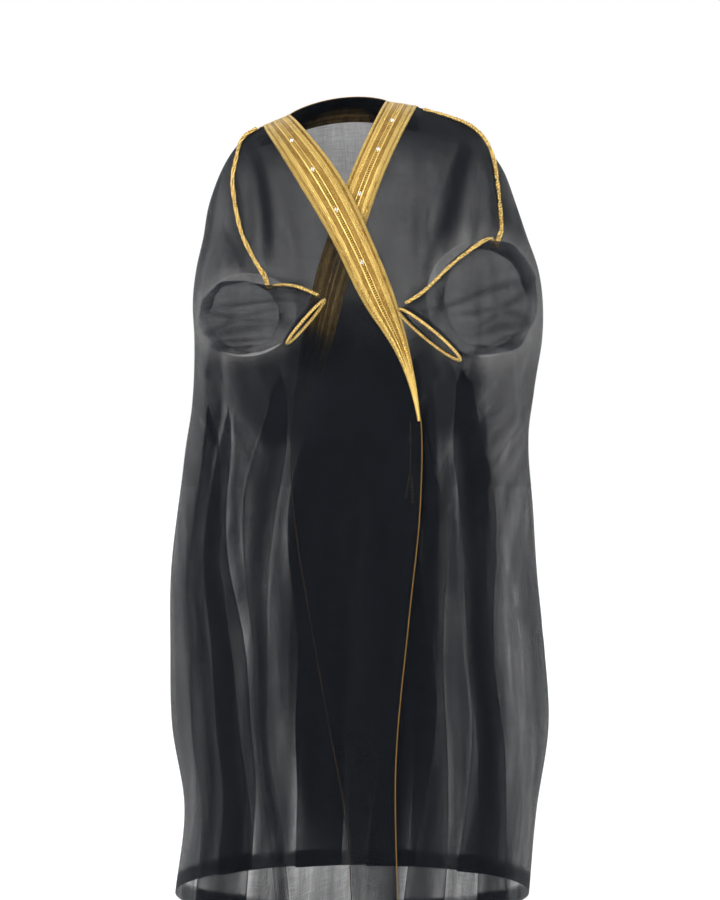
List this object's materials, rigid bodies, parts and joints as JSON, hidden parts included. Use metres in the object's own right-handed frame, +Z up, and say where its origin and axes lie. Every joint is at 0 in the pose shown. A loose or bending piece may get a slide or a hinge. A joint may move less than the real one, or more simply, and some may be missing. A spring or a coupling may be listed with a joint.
{
  "type": "bisht cloak",
  "caption": "Wide open-fronted ceremonial cloak of sheer black cloth, worn hollow form, with gold front bands, shoulder braids and cuffs.",
  "frame": {"origin": "between the shoulders at the foot of the neck, where the wearer carries the cloak", "axes": "+Z up, the front faces -Y, +X to the wearer's left"},
  "size_m": [0.678, 0.4867, 1.4398],
  "materials": {
    "black_cloth": "sheer fine plain weave, soft matt with a slight sheen",
    "gold_embroidery": "flat metal-thread embroidery with ribbed borders, satin gloss",
    "gold_braid": "twisted metal-thread braid, satin gloss"
  },
  "bodies": {
    "root": {"back": "black_cloth", "right_front": "black_cloth", "left_front": "black_cloth", "right_sleeve": "black_cloth", "left_sleeve": "black_cloth", "right_front_band": "gold_embroidery", "left_front_band": "gold_embroidery", "back_neck_band": "gold_embroidery", "right_shoulder_braid": "gold_braid", "left_shoulder_braid": "gold_braid", "right_cuff_braid": "gold_braid", "left_cuff_braid": "gold_braid", "right_edge_cord": "gold_braid", "left_edge_cord": "gold_braid", "tie_string_upper": "gold_braid", "tie_bead": "gold_braid", "tie_string_lower": "gold_braid", "tie_tassel_1": "gold_braid", "tie_tassel_2": "gold_braid"}
  },
  "joints": []
}
